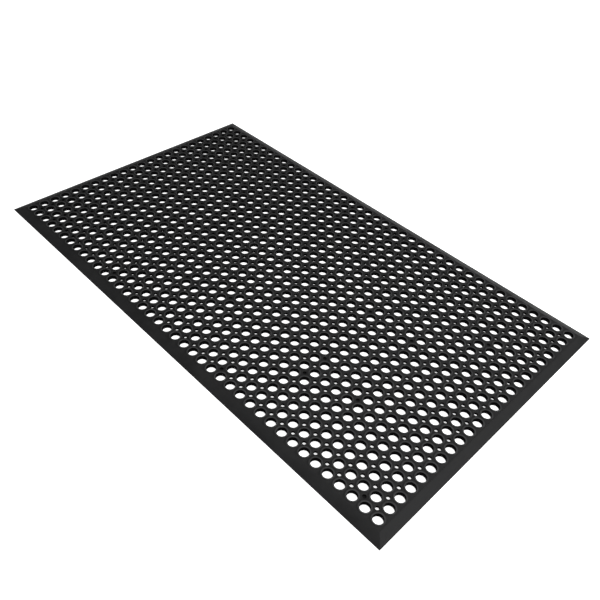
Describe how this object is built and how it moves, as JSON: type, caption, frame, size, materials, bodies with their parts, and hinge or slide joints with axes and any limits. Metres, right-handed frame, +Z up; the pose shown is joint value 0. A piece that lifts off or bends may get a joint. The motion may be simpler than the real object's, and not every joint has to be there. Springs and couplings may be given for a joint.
{
  "type": "anti fatigue mat",
  "caption": "Flat black rubber drainage mat with a square grid of round drain holes, small vents between them and ramped edges.",
  "frame": {"origin": "centre of the face that lies on the floor", "axes": "+X along the long side, towards the near end; +Y along the short side; +Z up, square to the floor"},
  "size_m": [1.524, 0.9, 0.0127],
  "materials": {
    "deck_rubber": "matte moulded black rubber",
    "floor_rubber": "matte black rubber skin that closes a vent",
    "ramp_rubber": "matte moulded black rubber, faintly mottled"
  },
  "bodies": {
    "root": {"deck_section_1": "deck_rubber", "deck_section_2": "deck_rubber", "deck_section_3": "deck_rubber", "deck_section_4": "deck_rubber", "deck_section_5": "deck_rubber", "deck_section_6": "deck_rubber", "deck_section_7": "deck_rubber", "deck_section_8": "deck_rubber", "blind_vent_floors": "floor_rubber", "ramp_near_end": "ramp_rubber", "ramp_far_end": "ramp_rubber", "ramp_left_side": "ramp_rubber", "ramp_right_side": "ramp_rubber"}
  },
  "joints": []
}
